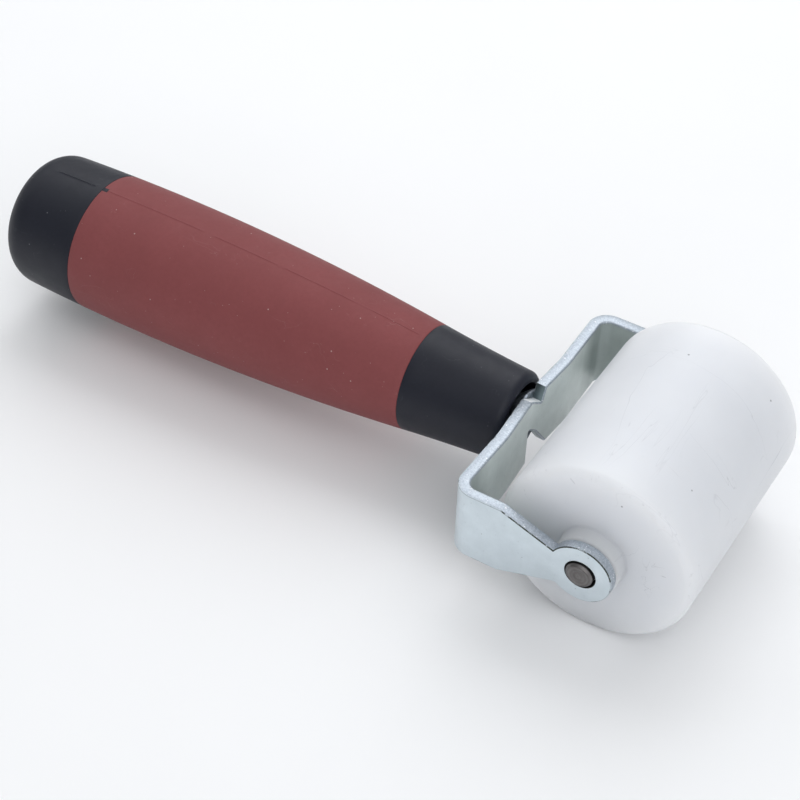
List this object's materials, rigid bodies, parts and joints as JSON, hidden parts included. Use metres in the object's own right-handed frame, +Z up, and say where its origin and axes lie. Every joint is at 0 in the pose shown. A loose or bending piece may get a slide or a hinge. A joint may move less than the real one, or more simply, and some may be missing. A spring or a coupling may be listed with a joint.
{
  "type": "seam roller",
  "caption": "Hand seam roller: a smooth plastic roller turning on a steel pin in a bent steel yoke, on a two-tone soft-grip handle.",
  "frame": {"origin": "middle of the line where the roller touches the work, straight below the roller's axis", "axes": "+X from the handle towards the roller, +Y along the roller's axis, +Z up"},
  "size_m": [0.1755, 0.0638, 0.041],
  "materials": {
    "roller": "milky satin polyethylene",
    "axle_pin": "turned, darkened",
    "yoke": "bright zinc plate",
    "shank": "bright zinc plate",
    "handle_core": "satin moulded",
    "grip_sleeve": "matte soft moulded"
  },
  "bodies": {
    "frame": {"yoke": "yoke", "shank": "shank", "handle_core": "handle_core", "grip_sleeve": "grip_sleeve"},
    "roller_set": {"roller": "roller", "axle_pin": "axle_pin"}
  },
  "joints": [
    {"name": "roller_spin", "type": "hinge", "parent": "frame", "child": "roller_set", "pos_m": [0, 0, 0.0205], "axis": [0, 1, 0], "continuous": true}
  ]
}
